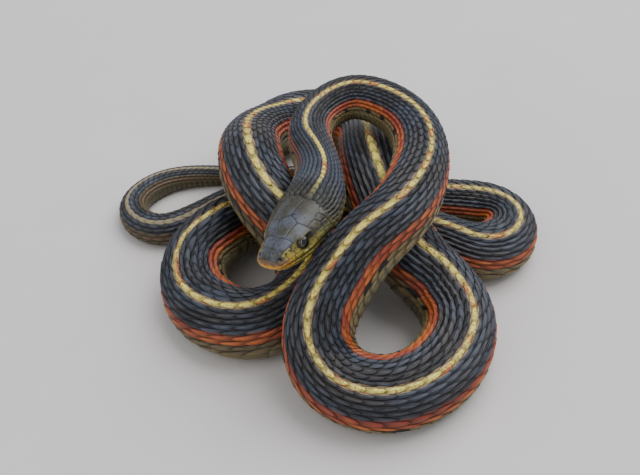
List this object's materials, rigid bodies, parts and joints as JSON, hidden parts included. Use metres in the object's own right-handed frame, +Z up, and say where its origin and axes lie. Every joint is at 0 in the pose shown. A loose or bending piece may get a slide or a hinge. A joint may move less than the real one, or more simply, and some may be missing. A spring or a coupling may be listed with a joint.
{
  "type": "garter snake",
  "caption": "Life-size still garter snake at rest in a loose heap of loops, head laid over them, dark keeled scales with a pale back stripe and red side stripes.",
  "frame": {"origin": "on the floor under the middle of the heap's outline", "axes": "+Z up; the side with the head and the front loop faces -Y; +X is to the right seen from there, towards the loop where the torso runs into the tail"},
  "size_m": [0.1094, 0.1182, 0.0408],
  "materials": {
    "skin": "dark slate scales with a pale yellow back stripe, red side stripes and a pale olive belly, satin",
    "head_skin": "smooth grey head shields with yellow lips, soft gloss",
    "eye": "wet gloss, dark iris with a thin pale ring round a round pupil"
  },
  "bodies": {
    "root": {"head": "head_skin", "eye_left": "eye", "eye_right": "eye", "neck": "skin", "torso_upper_loop_left": "skin", "torso_upper_loop_right": "skin", "torso_top_strand": "skin", "torso_front_loop_left": "skin", "torso_front_loop_right": "skin", "torso_middle_strand": "skin", "torso_back_loop_right": "skin", "torso_back_loop_left": "skin", "torso_left_strand": "skin", "torso_under_head": "skin", "torso_left_loop": "skin", "torso_near_floor_strand": "skin", "torso_right_loop": "skin", "tail_base": "skin", "tail_loop_near": "skin", "tail_loop_end": "skin", "tail_loop_far": "skin", "tail_tip": "skin"}
  },
  "joints": []
}
